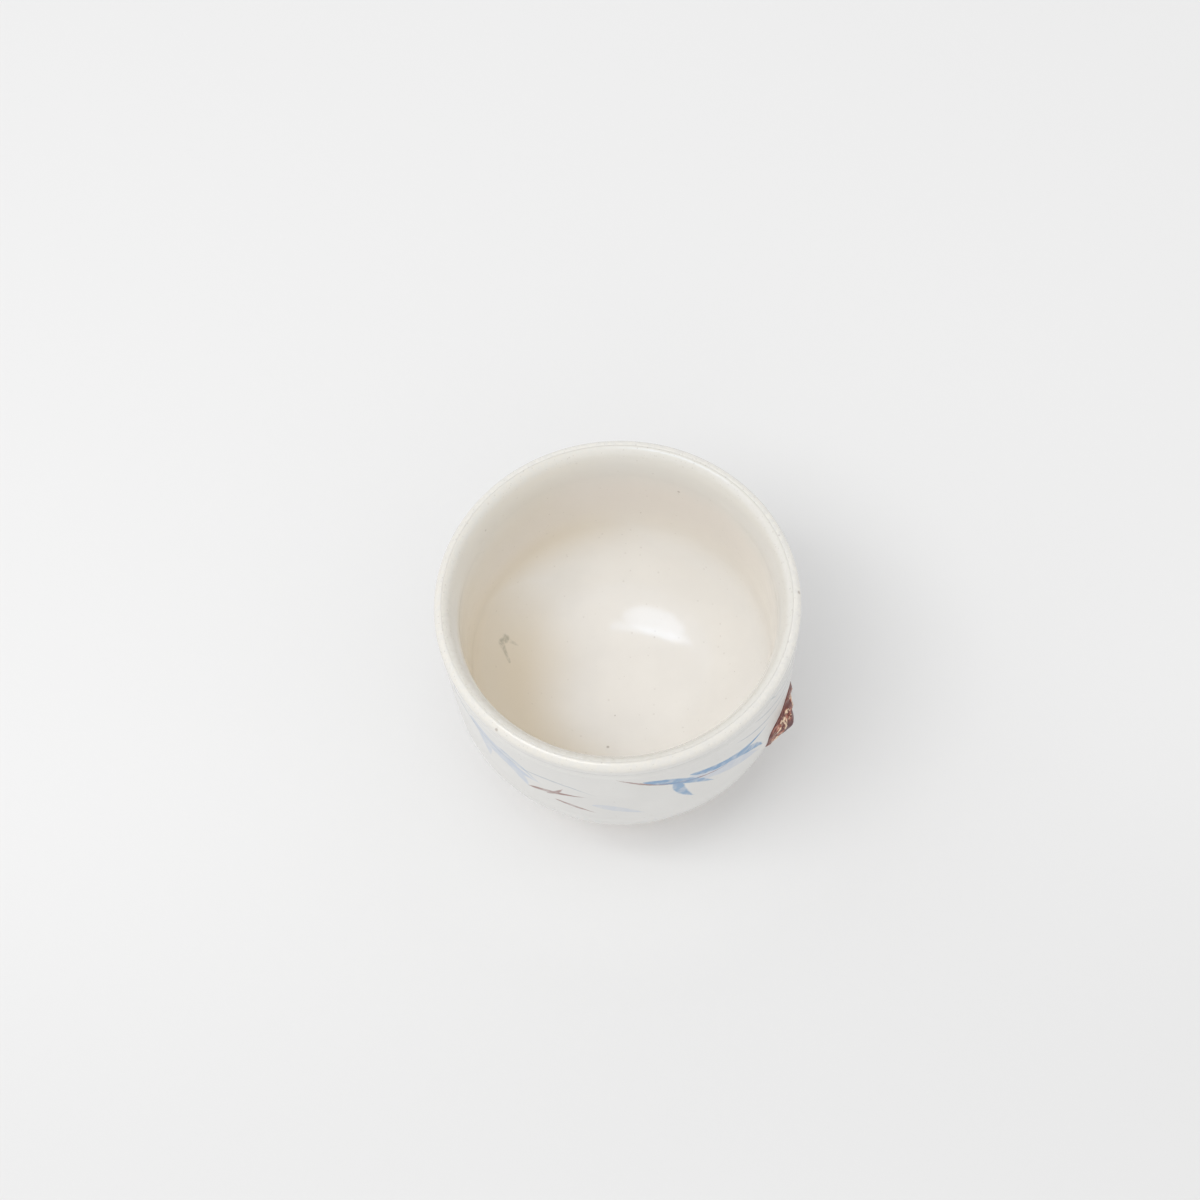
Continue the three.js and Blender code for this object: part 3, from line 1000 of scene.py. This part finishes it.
# %% Boss shape
BOSS_RINGS, BOSS_TURNS = 40, 144
DISC_BACK, DISC_MERGE = -1, 1e-5
BOSS_RISE = 3.9 * MM
BOSS_EDGE, EDGE_DROP, EDGE_POWER = 0.9 * MM, 0.3, 10
TIP_BLUNT, FLANK_POWER = 0.14, 1.8
LUTING_SLIP = 0.3 * MM
RIDGE_SIZE, RIDGE_HEIGHT = 3.6 * MM, 0.45 * MM
# The ridged noise: its fall-off, the step between octaves, their number, its offset and gain.
RIDGE_NOISE = (1.0, 2.1, 4, 1.0, 2.0)
WORKED_FROM, WORKED_RISE, WORKED_FALL = 0.12, 5, 8


def boss_disc():
    """A flat disc of radius 1 with a closed back below it."""
    shape = bmesh.new()
    line = [shape.verts.new((i / BOSS_RINGS, 0, 0)) for i in range(BOSS_RINGS + 1)]
    line.append(shape.verts.new((1, 0, DISC_BACK)))
    for pair in zip(line, line[1:]):
        shape.edges.new(pair)
    sweep(shape, BOSS_TURNS, DISC_MERGE)
    bmesh.ops.holes_fill(shape, edges=[e for e in shape.edges if e.is_boundary], sides=0)
    return shape


def boss_lift(share):
    """The height over the wall: a blunt tip, hollow flanks and a rounded edge."""
    blunt = (math.hypot(share, TIP_BLUNT) - TIP_BLUNT) / (math.hypot(1, TIP_BLUNT) - TIP_BLUNT)
    edge = BOSS_EDGE * (1 - EDGE_DROP * share**EDGE_POWER)
    return edge + (BOSS_RISE - BOSS_EDGE) * (1 - blunt) ** FLANK_POWER


def boss_shape():
    shape = boss_disc()
    share_layer = shape.verts.layers.float.new("share")
    ridge_layer = shape.verts.layers.float.new("ridge")
    for vert in shape.verts:
        share = min(math.hypot(vert.co.x, vert.co.y), 1)
        across, up = boss_place(share, math.atan2(vert.co.y, vert.co.x))
        vert[share_layer] = share
        if vert.co.z < DISC_BACK / 2:
            vert.co = on_wall(across, up, LUTING_SLIP)
            continue
        ridge = noise.ridged_multi_fractal(Vector((across, up, 0)) / RIDGE_SIZE, *RIDGE_NOISE) - 1.0
        worked = min(max(share - WORKED_FROM, 0) * WORKED_RISE, 1) * min((1 - share) * WORKED_FALL, 1)
        vert[ridge_layer] = ridge * worked
        vert.co = on_wall(across, up, boss_lift(share) + ridge * worked * RIDGE_HEIGHT)
    bmesh.ops.recalc_face_normals(shape, faces=shape.faces[:])
    return shape


relief_shape = boss_shape()
print("the boss has", len(relief_shape.verts), "points")

# %% Boss finish
IRON_BROWN = (0.14, 0.034, 0.026)
PLUM = (0.115, 0.048, 0.052)
RUST = (0.44, 0.165, 0.115)
OLD_GOLD = (0.88, 0.68, 0.49)
RUST_SIZE, RUST_RANGE = 1.8 * MM, (0.45, 0.6)
HOLLOW_RANGE, HOLLOW_STRENGTH = (0.1, -0.4), 0.9
TIP_RANGE, TIP_STRENGTH = (0.4, 0.22), 0.9
BELT_INNER, BELT_OUTER = (0.25, 0.4), (0.95, 0.7)
GILT_SIZE, GILT_SCATTER, GILT_RANGE = 1.3 * MM, 1.6, (0.2, 0.42)
GILT_STRENGTH, GILT_METAL = 0.95, 0.3
WEAR_SIZE, WEAR_DETAIL, WEAR_RANGE = 0.8 * MM, 3, (0.38, 0.52)
HEM_RANGE, HEM_STRENGTH = (0.93, 0.98), 0.8
SKIN_SIZE, SKIN_DEPTH = 0.6 * MM, 0.08 * MM


def iron_relief():
    """Iron brown with rust, dark hollows, a plum tip, worn gold on the ridges and a dark hem."""
    finish = Finish("iron_clay")
    share = finish.node("Attribute", {"attribute_name": "share"}, {}, "Fac")
    ridge = finish.node("Attribute", {"attribute_name": "ridge"}, {}, "Fac")
    rust = finish.noise(RUST_SIZE, CLAY_DETAIL).step(*RUST_RANGE)
    base = finish.colour(IRON_BROWN, RUST, rust)
    base = finish.colour(base, IRON_BROWN, ridge.step(*HOLLOW_RANGE) * HOLLOW_STRENGTH)
    base = finish.colour(base, PLUM, share.step(*TIP_RANGE) * TIP_STRENGTH)
    belt = share.step(*BELT_INNER) * share.step(*BELT_OUTER)
    scatter = GILT_SCATTER * (finish.noise(GILT_SIZE, CLAY_DETAIL) - 0.5)
    gilt = (ridge + scatter).step(*GILT_RANGE) * belt
    gilt = gilt * finish.noise(WEAR_SIZE, WEAR_DETAIL).step(*WEAR_RANGE)
    base = finish.colour(base, OLD_GOLD, gilt * GILT_STRENGTH)
    base = finish.colour(base, IRON_BROWN, share.step(*HEM_RANGE) * HEM_STRENGTH)
    return finish.finish_with(
        Base_Color=base,
        Normal=finish.bump(finish.noise(SKIN_SIZE, CLAY_DETAIL), SKIN_DEPTH),
        Metallic=gilt * GILT_METAL,
        Roughness=0.36,
        IOR=1.38,
    )


new_piece("relief", relief_shape, iron_relief(), "relief_boss")
